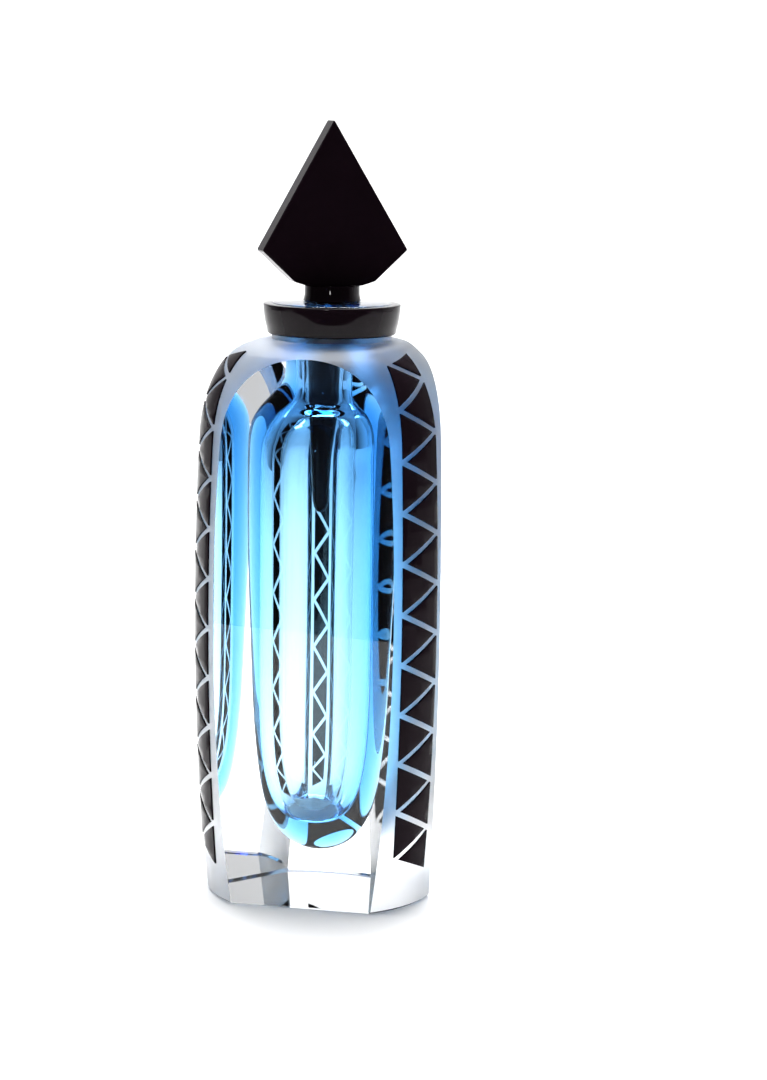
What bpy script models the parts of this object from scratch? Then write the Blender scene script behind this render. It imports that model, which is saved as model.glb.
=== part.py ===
"""Cut studio-glass scent bottle with a ground stopper, built in metres with +Z up.

The body is a round barrel of clear glass cut with three upright flats and cased over a blue
bubble. Each of the three rounded corners left between the flats carries a band of carved black
triangles. The front flat faces -Y.
"""

import math

import bmesh
import bpy
import numpy as np

# Body: a shallow barrel that turns into a rounded shoulder
BARREL_RADIUS = 0.0317
BARREL_WAIST_Z = 0.072
BARREL_BULGE = 0.609
SHOULDER_START_Z = 0.1132
SHOULDER_TOP_Z = 0.1373
SHOULDER_RISE = 2.26
SHOULDER_ROUND = 2.2
FLAT_COUNT = 3
FLAT_DISTANCE = 0.0226
NECK_RADIUS = 0.0146
RIM_Z = 0.1461

# The neck stands a little to +X of the barrel's axis, as hand-worked necks do
NECK_SHIFT = 0.0011
NECK_SHIFT_START_Z = 0.1342

# Blue bubble inside the clear glass, as radius and height. The bubble and the hollow inside it
# each stand a little to one side, and both move over to the neck above SHIFT_END_Z.
GAP = 0.0003
BUBBLE_SHIFT = 0.0010
HOLLOW_SHIFT = -0.0004
SHIFT_END_Z = 0.108
SHIFT_FADE = 0.016
BUBBLE_OUTLINE = [
    (0.0, 0.0114),
    (0.0072, 0.0136),
    (0.0119, 0.0191),
    (0.0145, 0.0270),
    (0.0164, 0.0427),
    (0.0174, 0.0635),
    (0.0182, 0.0851),
    (0.0184, 0.1060),
    (0.0180, 0.1158),
    (0.0160, 0.1205),
    (0.0125, 0.1245),
    (0.0103, 0.1272),
    (0.0094, 0.1310),
    (0.0094, 0.1460),
]
HOLLOW_OUTLINE = [
    (0.0, 0.0183),
    (0.0070, 0.0200),
    (0.0112, 0.0270),
    (0.0132, 0.0420),
    (0.0136, 0.0700),
    (0.0136, 0.1060),
    (0.0130, 0.1145),
    (0.0110, 0.1190),
    (0.0085, 0.1215),
    (0.0069, 0.1240),
    (0.0067, 0.1300),
    (0.0067, 0.1460),
]

# Black collar round the neck
COLLAR_BOTTOM_Z = 0.1386
COLLAR_TOP_Z = 0.1459
COLLAR_RADIUS = 0.01675
COLLAR_FOOT_RADIUS = 0.0157
COLLAR_EDGE = 0.0002

# Carved bands, one on each corner, as angles from the front normal towards +X
BAND_CENTRES = {"front_right": 60.0, "front_left": -60.0, "rear": 180.0}
BAND_ANGLE = 22.4
BAND_WIDTH = 0.0124
FIRST_POINT_Z = 0.0129
POINT_PITCH = 0.0122
POINT_STAGGER = 0.0064
POINTS = 11
BAND_BOTTOM_Z = 0.0082
BAND_TOP_Z = 0.1355
TOP_POINT_DROP = 0.0021
GROOVE = 0.0013
RELIEF = 0.0004
WEB = 0.0002
BAND_STRIPS = 3
BARREL_LEVELS = (0.022, 0.042, 0.062, 0.082, 0.102)
SHOULDER_LEVELS = (0.114, 0.119, 0.123, 0.1265, 0.129, 0.131, 0.1328, 0.1342)

# Stopper
STOPPER_TURN = 30.0
SHANK_TOP_Z = 0.1499
SHANK_RADIUS = 0.0067
SHANK_FOOT_RADIUS = 0.0070
SHANK_FOOT_HEIGHT = 0.0020
PEG_TOP_RADIUS = 0.00635
PEG_END_RADIUS = 0.0055
PEG_END_Z = 0.1227
PEG_EDGE = 0.0003
DAUBER_TOP_RADIUS = 0.00525
DAUBER_TIP_RADIUS = 0.00275
DAUBER_TIP_Z = 0.0950
FINIAL_THICKNESS = 0.0058
FINIAL_TIP_Z = 0.1899
FINIAL_TIP_LEAN = -0.0007
FINIAL_WIDE_Z = 0.1580
FINIAL_HALF_WIDTH = 0.01765
FINIAL_FOOT_Z = 0.1508
FINIAL_FOOT_HALF = 0.0101
FINIAL_LOW_Z = 0.1502
FINIAL_BEVEL = 0.0004

CORNER_STEPS = 10
FLAT_STEPS = 4
TINY = 1e-9


def material(name, colour, roughness, clear=0.0):
    """Returns a plain surface material, see-through by the share given in clear."""
    made = bpy.data.materials.new(name)
    made.use_nodes = True
    shader = made.node_tree.nodes["Principled BSDF"]
    shader.inputs["Base Color"].default_value = (*colour, 1.0)
    shader.inputs["Roughness"].default_value = roughness
    shader.inputs["Transmission Weight"].default_value = clear
    made.diffuse_color = (*colour, 1.0 - 0.7 * clear)
    return made


def finish(name, bm, made, sharp=40.0):
    """Closes a bmesh into one named object with outward faces and smooth rounds."""
    bmesh.ops.remove_doubles(bm, verts=bm.verts, dist=1e-7)
    bmesh.ops.dissolve_degenerate(bm, edges=bm.edges, dist=1e-7)
    bmesh.ops.recalc_face_normals(bm, faces=bm.faces)
    mesh = bpy.data.meshes.new(name)
    bm.to_mesh(mesh)
    bm.free()
    mesh.shade_smooth()
    mesh.set_sharp_from_angle(angle=math.radians(sharp))
    mesh.materials.append(made)
    made_object = bpy.data.objects.new(name, mesh)
    bpy.context.scene.collection.objects.link(made_object)
    return made_object


def curve_through(points, steps):
    """Samples a smooth curve that passes through each point, with this many steps per span."""
    knots = np.array(points)
    ends = np.vstack([2 * knots[0] - knots[1], knots, 2 * knots[-1] - knots[-2]])
    samples = []
    for i in range(1, len(ends) - 2):
        a, b, c, d = ends[i - 1], ends[i], ends[i + 1], ends[i + 2]
        for t in np.linspace(0.0, 1.0, steps, endpoint=False):
            bend = (2 * a - 5 * b + 4 * c - d) * t**2 + (3 * b - a - 3 * c + d) * t**3
            samples.append((2 * b + (c - a) * t + bend) / 2)
    samples.append(knots[-1])
    return [(max(0.0, float(r)), float(z)) for r, z in samples]


def grown(outline, gap):
    """Moves a curve that starts on the axis outwards by a gap, square to itself."""
    points = np.array(outline)
    runs = np.gradient(points, axis=0)
    runs[0] = (1.0, 0.0)
    normals = np.stack([runs[:, 1], -runs[:, 0]], axis=1) / np.hypot(runs[:, 0], runs[:, 1])[:, None]
    return [(float(r), float(z)) for r, z in points + gap * normals]


def eased(z, start, end):
    """Climbs smoothly from 0 at the start height to 1 at the end height."""
    share = min(1.0, max(0.0, (z - start) / (end - start)))
    return share * share * (3.0 - 2.0 * share)


def neck_centre(z):
    """Sideways place of the body's axis, which moves over to the neck at the top of the shoulder."""
    return NECK_SHIFT * eased(z, NECK_SHIFT_START_Z, SHOULDER_TOP_Z)


def inner_centre(shift, z):
    """Sideways place of an inner shape, from its own shift to that of the neck."""
    return shift + (NECK_SHIFT - shift) * eased(z, SHIFT_END_Z, SHIFT_END_Z + SHIFT_FADE)


def body_radius(z):
    """Returns the radius of the clear glass at this height, before the flats are cut."""
    barrel = BARREL_RADIUS - BARREL_BULGE * (z - BARREL_WAIST_Z) ** 2
    climb = min(1.0, max(0.0, (z - SHOULDER_START_Z) / (SHOULDER_TOP_Z - SHOULDER_START_Z)))
    return NECK_RADIUS + (barrel - NECK_RADIUS) * (1.0 - climb**SHOULDER_RISE) ** (1.0 / SHOULDER_ROUND)


def ring(bm, centre_x, z, radius, flat=math.inf, flat_steps=1):
    """Adds one level of a body: round corners, joined by flats where the round passes them."""
    half_flat = math.acos(min(1.0, flat / radius))
    half_corner = math.pi / FLAT_COUNT - half_flat
    outline = []
    for corner in range(FLAT_COUNT):
        middle = math.pi / FLAT_COUNT * (2 * corner + 1)
        for angle in np.linspace(middle - half_corner, middle + half_corner, CORNER_STEPS + 1):
            outline.append((radius * math.sin(angle), -radius * math.cos(angle)))
        start = outline[-1]
        leave = middle + half_corner + 2 * half_flat
        end = (radius * math.sin(leave), -radius * math.cos(leave))
        for share in np.linspace(0.0, 1.0, flat_steps + 1)[1:-1]:
            outline.append((start[0] + (end[0] - start[0]) * share, start[1] + (end[1] - start[1]) * share))
    return [bm.verts.new((centre_x + x, y, z)) for x, y in outline]


def skin(bm, rings):
    """Joins each ring to the next with quads."""
    for low, high in zip(rings[:-1], rings[1:]):
        for i in range(len(low)):
            j = (i + 1) % len(low)
            bm.faces.new((low[i], low[j], high[j], high[i]))


def turned(name, outline, made, sharp=40.0):
    """Turns an outline of (radius, height) pairs round the neck's axis."""
    bm = bmesh.new()
    rings = [ring(bm, 0.0, z, max(r, TINY)) for r, z in outline]
    skin(bm, rings)
    if outline[0][0] > 0:
        skin(bm, [rings[-1], rings[0]])
    piece = finish(name, bm, made, sharp)
    piece.location.x = NECK_SHIFT
    return piece


def build_casing(made):
    """The clear glass body: barrel with flats, neck, and the hollow the blue bubble sits in."""
    bm = bmesh.new()
    sides = np.linspace(0.0, 0.108, 8)
    shoulder = [*SHOULDER_LEVELS, 0.1353, 0.1361, 0.1367, 0.1371]
    rings = []
    for z in [*sides, *shoulder, SHOULDER_TOP_Z, RIM_Z]:
        rings.append(ring(bm, neck_centre(z), z, body_radius(z), FLAT_DISTANCE, FLAT_STEPS))
    seat = grown(curve_through(BUBBLE_OUTLINE, 2), GAP)
    seat[-1] = (seat[-1][0], RIM_Z)
    for r, z in reversed(seat):
        rings.append(ring(bm, inner_centre(BUBBLE_SHIFT, z), z, max(r, TINY), FLAT_DISTANCE, FLAT_STEPS))
    skin(bm, rings)
    bm.faces.new(reversed(rings[0]))
    return finish("glass_casing", bm, made)


def build_liner(made):
    """The blue bubble: a thick-bottomed cup with a narrow neck, open at the top."""
    bm = bmesh.new()
    rings = []
    for r, z in curve_through(BUBBLE_OUTLINE, 2):
        rings.append(ring(bm, inner_centre(BUBBLE_SHIFT, z), z, max(r, TINY)))
    for r, z in reversed(curve_through(HOLLOW_OUTLINE, 2)):
        rings.append(ring(bm, inner_centre(HOLLOW_SHIFT, z), z, max(r, TINY)))
    skin(bm, rings)
    return finish("blue_liner", bm, made)


def build_collar(made):
    """The black band round the neck, curving in towards its foot."""
    inner = NECK_RADIUS + GAP
    height = COLLAR_TOP_Z - COLLAR_BOTTOM_Z
    outline = [
        (inner, COLLAR_TOP_Z),
        (inner, COLLAR_BOTTOM_Z),
        (COLLAR_FOOT_RADIUS, COLLAR_BOTTOM_Z),
        (COLLAR_FOOT_RADIUS + 2 * COLLAR_EDGE, COLLAR_BOTTOM_Z + 0.2 * height),
        (COLLAR_RADIUS - COLLAR_EDGE, COLLAR_BOTTOM_Z + 0.5 * height),
        (COLLAR_RADIUS, COLLAR_TOP_Z - COLLAR_EDGE),
        (COLLAR_RADIUS - COLLAR_EDGE, COLLAR_TOP_Z),
    ]
    return turned("collar_band", outline, made)


def zigzag():
    """Returns each triangle of a band as (point, low corner, high corner) in width and height."""
    left = [FIRST_POINT_Z + POINT_PITCH * k for k in range(POINTS)]
    right = [FIRST_POINT_Z + POINT_STAGGER + POINT_PITCH * k for k in range(-1, POINTS)]
    left[-1] = BAND_TOP_Z - TOP_POINT_DROP
    right[0] = BAND_BOTTOM_Z
    right[-1] = BAND_TOP_Z
    triangles = []
    for k in range(POINTS):
        triangles.append(((0.0, left[k]), (BAND_WIDTH, right[k]), (BAND_WIDTH, right[k + 1])))
        if k + 1 < POINTS:
            triangles.append(((BAND_WIDTH, right[k + 1]), (0.0, left[k]), (0.0, left[k + 1])))
    return triangles


def crossing(p, p_dir, q, q_dir):
    """Returns where two lines in the plane meet."""
    cross = p_dir[0] * q_dir[1] - p_dir[1] * q_dir[0]
    t = ((q[0] - p[0]) * q_dir[1] - (q[1] - p[1]) * q_dir[0]) / cross
    return (p[0] + p_dir[0] * t, p[1] + p_dir[1] * t)


def trimmed(triangle):
    """Moves a triangle's two sloping sides in by half a groove, and leaves its base as it is."""
    point, low, high = triangle
    middle = ((point[0] + low[0] + high[0]) / 3, (point[1] + low[1] + high[1]) / 3)
    sides = []
    for corner in (low, high):
        run = (corner[0] - point[0], corner[1] - point[1])
        length = math.hypot(*run)
        inward = (-run[1] / length, run[0] / length)
        facing = (middle[0] - point[0]) * inward[0] + (middle[1] - point[1]) * inward[1]
        step = math.copysign(GROOVE / 2, facing)
        sides.append(((point[0] + inward[0] * step, point[1] + inward[1] * step), run))
    base = (0.0, 1.0)
    return (
        crossing(*sides[0], *sides[1]),
        crossing(*sides[0], low, base),
        crossing(*sides[1], high, base),
    )


def wrap(bm, middle, levels):
    """Bends a flat band of (width, height, relief) onto the corner of the body at this angle."""
    cuts = [((BAND_WIDTH * i / BAND_STRIPS, 0.0, 0.0), (1, 0, 0)) for i in range(1, BAND_STRIPS)]
    cuts += [((0.0, z, 0.0), (0, 1, 0)) for z in levels]
    for place, normal in cuts:
        everything = bm.verts[:] + bm.edges[:] + bm.faces[:]
        bmesh.ops.bisect_plane(bm, geom=everything, dist=1e-6, plane_co=place, plane_no=normal)
    bmesh.ops.triangulate(bm, faces=bm.faces)
    for vert in bm.verts:
        across, z, lift = vert.co
        angle = math.radians(middle + BAND_ANGLE * (across / BAND_WIDTH - 0.5))
        slope = (body_radius(z + 1e-5) - body_radius(z - 1e-5)) / 2e-5
        tilt = math.hypot(1.0, slope)
        radius = body_radius(z) + (GAP + lift) / tilt
        height = z - (GAP + lift) * slope / tilt
        vert.co = (neck_centre(z) + radius * math.sin(angle), -radius * math.cos(angle), height)


def build_facet(name, triangle, middle, made):
    """One carved black triangle."""
    bm = bmesh.new()
    lower = [bm.verts.new((u, v, 0.0)) for u, v in triangle]
    upper = [bm.verts.new((u, v, RELIEF)) for u, v in triangle]
    bm.faces.new(lower)
    bm.faces.new(upper)
    for i in range(3):
        j = (i + 1) % 3
        bm.faces.new((lower[i], lower[j], upper[j], upper[i]))
    wrap(bm, middle, SHOULDER_LEVELS)
    return finish(name, bm, made, 30.0)


def build_joined_band(name, triangles, middle, made):
    """A band whose triangles are joined by a thin web, for the corner at the back."""
    bm = bmesh.new()
    corners = [[bm.verts.new((u, v, WEB)) for u, v in triangle] for triangle in triangles]
    raised = [bm.faces.new(corner) for corner in corners]
    for one, two in zip(corners[:-1], corners[1:]):
        bm.faces.new((one[0], two[1], two[0], one[2]))
    for before, here, after in zip(corners[:-2], corners[1:-1], corners[2:]):
        bm.faces.new((here[0], before[2], after[1]))
    bmesh.ops.recalc_face_normals(bm, faces=bm.faces)
    lifted = bmesh.ops.extrude_face_region(bm, geom=raised)["geom"]
    bmesh.ops.delete(bm, geom=raised, context="FACES_ONLY")
    tops = [g for g in lifted if isinstance(g, bmesh.types.BMVert)]
    bmesh.ops.translate(bm, verts=tops, vec=(0.0, 0.0, RELIEF - WEB))
    rim = [edge for edge in bm.edges if edge.is_boundary]
    dropped = bmesh.ops.extrude_edge_only(bm, edges=rim)["geom"]
    feet = [g for g in dropped if isinstance(g, bmesh.types.BMVert)]
    bmesh.ops.translate(bm, verts=feet, vec=(0.0, 0.0, -WEB))
    open_edges = [edge for edge in bm.edges if edge.is_boundary]
    bmesh.ops.contextual_create(bm, geom=open_edges)
    wrap(bm, middle, BARREL_LEVELS + SHOULDER_LEVELS)
    return finish(name, bm, made, 30.0)


def build_bands(made):
    """The two front bands as loose triangles, and the rear band as one joined piece."""
    triangles = [trimmed(triangle) for triangle in zigzag()]
    for corner, middle in BAND_CENTRES.items():
        if corner == "rear":
            build_joined_band("rear_band", triangles, middle, made)
            continue
        for number, triangle in enumerate(triangles, 1):
            build_facet(f"{corner}_facet_{number:02d}", triangle, middle, made)


def build_peg(made):
    """The stopper's round shank and the ground taper that seals the neck."""
    outline = [
        (0.0, PEG_END_Z),
        (PEG_END_RADIUS - PEG_EDGE, PEG_END_Z),
        (PEG_END_RADIUS, PEG_END_Z + PEG_EDGE),
        (PEG_TOP_RADIUS, RIM_Z - 2 * PEG_EDGE),
        (SHANK_FOOT_RADIUS, RIM_Z + 2 * PEG_EDGE),
        (SHANK_RADIUS, RIM_Z + SHANK_FOOT_HEIGHT),
        (SHANK_RADIUS, SHANK_TOP_Z),
        (0.0, SHANK_TOP_Z),
    ]
    return turned("stopper_peg", outline, made)


def build_dauber(made):
    """The tapering rod that hangs from the peg into the scent."""
    top = PEG_END_Z - GAP
    length = top - DAUBER_TIP_Z
    outline = [(0.0, top), (DAUBER_TOP_RADIUS, top)]
    for share in (0.2, 0.5, 0.8):
        waist = DAUBER_TOP_RADIUS + (DAUBER_TIP_RADIUS - DAUBER_TOP_RADIUS) * share**0.8
        outline.append((waist, top - length * share))
    for turn in (0, 30, 60):
        angle = math.radians(turn)
        low = DAUBER_TIP_Z + DAUBER_TIP_RADIUS * (1.0 - math.sin(angle))
        outline.append((DAUBER_TIP_RADIUS * math.cos(angle), low))
    outline.append((0.0, DAUBER_TIP_Z))
    return turned("dauber_rod", outline, made)


def build_finial(made):
    """The flat, pointed diamond plate of the stopper, turned about the neck's axis."""
    half = [
        (SHANK_RADIUS, FINIAL_LOW_Z),
        (FINIAL_FOOT_HALF, FINIAL_FOOT_Z),
        (FINIAL_HALF_WIDTH, FINIAL_WIDE_Z),
    ]
    outline = [*half, (FINIAL_TIP_LEAN, FINIAL_TIP_Z)] + [(-x, z) for x, z in reversed(half)]
    bm = bmesh.new()
    front = [bm.verts.new((x, -FINIAL_THICKNESS / 2, z)) for x, z in outline]
    back = [bm.verts.new((x, FINIAL_THICKNESS / 2, z)) for x, z in outline]
    bm.faces.new(front)
    bm.faces.new(back)
    for i in range(len(front)):
        j = (i + 1) % len(front)
        bm.faces.new((front[i], front[j], back[j], back[i]))
    bmesh.ops.recalc_face_normals(bm, faces=bm.faces)
    rims = [e for e in bm.edges if abs(e.verts[0].co.y - e.verts[1].co.y) < 1e-6]
    bmesh.ops.bevel(bm, geom=rims, offset=FINIAL_BEVEL, segments=1, affect="EDGES")
    plate = finish("stopper_finial", bm, made, 20.0)
    plate.location.x = NECK_SHIFT
    plate.rotation_euler = (0.0, 0.0, math.radians(STOPPER_TURN))
    return plate


def main():
    for thing in list(bpy.data.objects):
        bpy.data.objects.remove(thing)
    bpy.context.scene.unit_settings.system = "METRIC"
    clear = material("clear_glass", (0.93, 0.96, 0.96), 0.05, 1.0)
    blue = material("blue_glass", (0.25, 0.45, 0.92), 0.05, 1.0)
    black = material("black_glass", (0.008, 0.004, 0.008), 0.12)
    build_casing(clear)
    build_liner(blue)
    build_collar(black)
    build_bands(black)
    build_peg(black)
    build_dauber(black)
    build_finial(black)


main()
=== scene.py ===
import math

import bmesh
import bpy
import numpy as np
from bpy.props import FloatProperty, FloatVectorProperty, IntProperty, PointerProperty
from mathutils import Matrix, Vector


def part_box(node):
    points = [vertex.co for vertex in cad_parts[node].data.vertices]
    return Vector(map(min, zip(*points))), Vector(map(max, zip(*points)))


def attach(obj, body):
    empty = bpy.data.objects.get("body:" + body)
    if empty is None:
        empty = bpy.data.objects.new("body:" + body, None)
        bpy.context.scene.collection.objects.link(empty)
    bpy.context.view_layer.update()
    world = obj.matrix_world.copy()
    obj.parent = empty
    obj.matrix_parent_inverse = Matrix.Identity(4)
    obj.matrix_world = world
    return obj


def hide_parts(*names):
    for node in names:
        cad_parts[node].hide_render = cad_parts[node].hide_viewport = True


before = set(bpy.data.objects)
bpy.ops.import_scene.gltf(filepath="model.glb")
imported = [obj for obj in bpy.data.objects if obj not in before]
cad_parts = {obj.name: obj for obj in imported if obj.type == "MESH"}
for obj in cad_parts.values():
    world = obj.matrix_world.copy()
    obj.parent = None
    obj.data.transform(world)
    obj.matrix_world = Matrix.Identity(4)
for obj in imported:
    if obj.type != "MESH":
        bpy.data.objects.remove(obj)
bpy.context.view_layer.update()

CASING_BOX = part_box("glass_casing")
COLLAR_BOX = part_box("collar_band")

bl_info = {
    "name": "Cut glass scent bottle",
    "version": (1, 0, 0),
    "blender": (4, 5, 0),
    "location": "3D View > Sidebar > Scent bottle",
    "description": "Builds a cut and cased glass scent bottle with carved black bands and a ground stopper",
    "category": "Add Mesh",
}

# The blue bubble and the hollow inside it, as radius and height in metres
BUBBLE_OUTLINE = [
    (0.0, 0.0114),
    (0.0072, 0.0136),
    (0.0119, 0.0191),
    (0.0145, 0.0270),
    (0.0164, 0.0427),
    (0.0174, 0.0635),
    (0.0182, 0.0851),
    (0.0184, 0.1060),
    (0.0180, 0.1158),
    (0.0160, 0.1205),
    (0.0125, 0.1245),
    (0.0103, 0.1272),
    (0.0094, 0.1310),
    (0.0094, 0.1460),
]
HOLLOW_OUTLINE = [
    (0.0, 0.0183),
    (0.0070, 0.0200),
    (0.0112, 0.0270),
    (0.0132, 0.0420),
    (0.0136, 0.0700),
    (0.0136, 0.1060),
    (0.0130, 0.1145),
    (0.0110, 0.1190),
    (0.0085, 0.1215),
    (0.0069, 0.1240),
    (0.0067, 0.1300),
    (0.0067, 0.1460),
]
# How far up the collar it has grown by how much, and where its side becomes straight
COLLAR_FLARE = [(0.18, 0.0002), (0.42, 0.0006)]
COLLAR_STRAIGHT = 0.75
CORNERS = ("front_right", "rear", "front_left")
POLISHED, SATIN, BACKED = range(3)
BODY = "bottle"
PLUG = "stopper_plug"
TOP = "stopper_top"
MERGE = 1e-6
TINY = 1e-9


def length(name, description, default):
    """Returns a size in metres for a property group."""
    limits = {"min": 0.0, "unit": "LENGTH", "precision": 5}
    return FloatProperty(name=name, description=description, default=default, **limits)


def offset(name, description, default):
    """Returns a size in metres that may be negative, for a property group."""
    return FloatProperty(name=name, description=description, default=default, unit="LENGTH", precision=5)


def degrees(name, description, default):
    """Returns an angle for a property group, from a default in degrees."""
    default = math.radians(default)
    return FloatProperty(name=name, description=description, default=default, subtype="ANGLE")


def amount(name, description, default):
    """Returns a plain number for a property group."""
    return FloatProperty(name=name, description=description, default=default)


def colour(name, description, default):
    """Returns a linear colour for a property group."""
    limits = {"min": 0.0, "max": 1.0, "subtype": "COLOR"}
    return FloatVectorProperty(name=name, description=description, default=default, **limits)


class BodySizes(bpy.types.PropertyGroup):
    """The clear glass body."""

    radius: length("Barrel radius", "Radius of the barrel at its widest", 0.0317)
    waist: length("Widest height", "Height at which the barrel is widest", 0.072)
    bulge: amount("Bulge", "How fast the barrel draws in away from its widest", 0.609)
    shoulder_start: length("Shoulder start", "Height where the shoulder starts to round over", 0.1132)
    shoulder_top: length("Shoulder top", "Height where the shoulder meets the neck", 0.1373)
    shoulder_rise: amount("Shoulder rise", "How late the shoulder turns in", 2.26)
    shoulder_round: amount("Shoulder round", "How full the shoulder is", 2.2)
    flat: length("Flat distance", "Distance from the axis to each polished flat", -CASING_BOX[0][1])
    neck: length("Neck radius", "Radius of the neck under the collar", 0.0146)
    rim: length("Rim height", "Height of the bottle's rim", CASING_BOX[1][2])
    neck_shift: length("Neck shift", "How far the neck sits towards +X", 0.0011)
    shift_start: length("Neck shift start", "Height where the body starts to move over to the neck", 0.1342)
    chamfer: length("Foot chamfer", "Ground edge round the foot", 0.0005)
    rim_round: length("Rim rounding", "Fire-polished edge of the rim", 0.0004)


class BubbleSizes(bpy.types.PropertyGroup):
    """The blue bubble in the clear glass."""

    shift: length("Bubble shift", "How far the bubble sits towards +X", 0.0010)
    hollow_shift: offset("Hollow shift", "How far the hollow sits towards +X", -0.0004)
    shift_end: length("Shift end", "Height where both start to move over to the neck", 0.108)
    shift_fade: length("Shift fade", "Height over which they move over to the neck", 0.016)
    skin: length("Skin", "Clear glass kept between the blue glass and the hollow", 0.00005)
    sides: IntProperty(name="Sides", description="Facets round the bubble", default=120, min=24, max=256)


class BandSizes(bpy.types.PropertyGroup):
    """The carved bands of black triangles."""

    angle: degrees("Band angle", "Angle that a band covers", 22.4)
    width: length("Band width", "Width of a band along the glass", 0.0124)
    first: length("First point", "Height of the lowest point on the left edge", 0.0129)
    pitch: length("Pitch", "Height from one point to the next on the same edge", 0.0122)
    stagger: length("Stagger", "Height from a left point to the right point above it", 0.0064)
    points: IntProperty(name="Points", description="Points on the left edge", default=11, min=2, max=40)
    bottom: length("Bottom height", "Height of the lowest corner", 0.0082)
    top: length("Top height", "Height of the highest corner", 0.1355)
    top_drop: length("Top drop", "How far the last left point stays under the top", 0.0021)
    groove: length("Groove", "Width of the groove between two triangles", 0.0013)
    relief: length("Relief", "How far a triangle stands proud of the glass", 0.0004)
    edge: length("Softened edge", "Width of a triangle's softened edge", 0.00012)
    seat: length("Seat", "Fine gap under a triangle", 0.00002)


class StopperSizes(bpy.types.PropertyGroup):
    """The stopper and the collar."""

    turn: degrees("Turn", "Turn of the plate about the neck", 30.0)
    collar_foot: length("Collar foot", "Radius of the collar's foot", 0.0157)
    collar_edge: length("Collar edge", "Rounding of the collar's edges", 0.0003)
    shank: length("Shank radius", "Radius of the shank above the neck", 0.0067)
    shank_foot: length("Shank foot", "Radius of the shank just above the rim", 0.0070)
    shank_rise: length("Shank rise", "Height above the rim where the shank becomes straight", 0.0020)
    peg_edge: length("Peg edge", "Softened edge at the peg's foot", 0.0003)
    peg_top: length("Peg top", "Radius of the ground peg at the rim", 0.00640)
    peg_end: length("Peg end", "Radius of the ground peg at its foot", 0.0055)
    rod_top: length("Rod top", "Radius of the dauber rod at its top", 0.00525)
    rod_tip: length("Rod tip", "Radius of the dauber rod at its tip", 0.00275)
    thickness: length("Plate thickness", "Thickness of the diamond plate", 0.0058)
    half_width: length("Plate half width", "Half the width of the diamond plate", 0.0183)
    wide: length("Widest height", "Height at which the plate is widest", 0.1588)
    foot_half: length("Foot half width", "Half the width of the plate's foot", 0.0101)
    foot: length("Foot height", "Height of the plate's foot corners", 0.1512)
    tip_lean: length("Tip lean", "How far the plate's tip leans towards its lower end", 0.0007)
    bevel: length("Plate bevel", "Bevel round the plate's faces", 0.0004)


class Finishes(bpy.types.PropertyGroup):
    """Colours and finishes of the glass."""

    clear: colour("Clear glass", "Colour of the polished clear glass", (0.97, 0.985, 0.985))
    satin: colour("Satin glass", "Colour of the frosted glass", (0.93, 0.95, 0.98))
    # Painted shade: a darker frost colour for the shoulder, standing in for the dim room that the frost
    # scatters
    satin_painted_shade: colour("Satin at the top", "Colour of the frosted glass at the shoulder", (0.60, 0.62, 0.66))
    satin_grain: amount("Satin roughness", "Roughness of the frosted glass", 0.42)
    bubble: colour("Blue glass", "Colour that the blue glass lets through", (0.19, 0.67, 0.91))
    depth: amount("Blue depth", "How strongly the blue glass colours, per metre", 160.0)
    bubble_top: colour("Blue at the top", "Tint of the upper bubble", (0.62, 0.75, 0.90))
    black: colour("Black glass", "Colour of the black glass", (0.006, 0.003, 0.005))


class StageSizes(bpy.types.PropertyGroup):
    """Camera, lights and floor."""

    azimuth: degrees("Azimuth", "Camera's angle to the right of the front", 13.0)
    distance: length("Distance", "Camera's distance from the axis", 0.6604)
    height: length("Height", "Camera's height", 0.2006)
    pitch: degrees("Pitch", "How far the camera looks down", 9.7)
    yaw: degrees("Yaw", "How far the camera looks to the right of the axis", 1.25)
    roll: degrees("Roll", "How far the camera leans", 0.85)
    lens: amount("Lens", "Focal length in mm on a 36 mm high sensor", 90.67)
    front: length("Front edge", "Distance from the axis to the table's front edge", 0.32)
    wide: length("Half width", "Half the width of the table", 0.9)
    wall: length("Wall", "Distance from the axis to the wall behind", 0.75)
    tall: length("Wall height", "Height of the wall", 1.0)
    sweep: length("Sweep", "Radius of the curve from the table into the wall", 0.2)
    drop: length("Drop", "Fine gap under the bottle's foot", 0.0002)
    backdrop: amount("Backdrop", "Brightness of the air behind the bottle, as the camera sees it", 2.0)
    back_light: amount("Back light", "Brightness of the air behind the bottle, as the glass sees it", 1.5)
    front_light: amount("Front light", "Brightness of the air in front of the bottle", 0.06)
    front_end: amount("Front end", "Share of the way back where the air starts to brighten", -0.1)
    back_start: amount("Back start", "Share of the way back where the air is brightest", 0.75)
    overhead: amount("Overhead power", "Power of the overhead light in watts", 46.0)
    softbox: amount("Softbox power", "Power of the front light in watts", 1.6)


class Term:
    """A value in a finish, which can be used in sums like a number."""

    def __init__(self, finish, socket):
        self.finish = finish
        self.socket = socket

    def sum(self, operation, first, second):
        return self.finish.node("ShaderNodeMath", {"operation": operation}, {0: first, 1: second})

    def __add__(self, other):
        return self.sum("ADD", self, other)

    __radd__ = __add__

    def __sub__(self, other):
        return self.sum("SUBTRACT", self, other)

    def __rsub__(self, other):
        return self.sum("SUBTRACT", other, self)

    def __mul__(self, other):
        return self.sum("MULTIPLY", self, other)

    __rmul__ = __mul__


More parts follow.
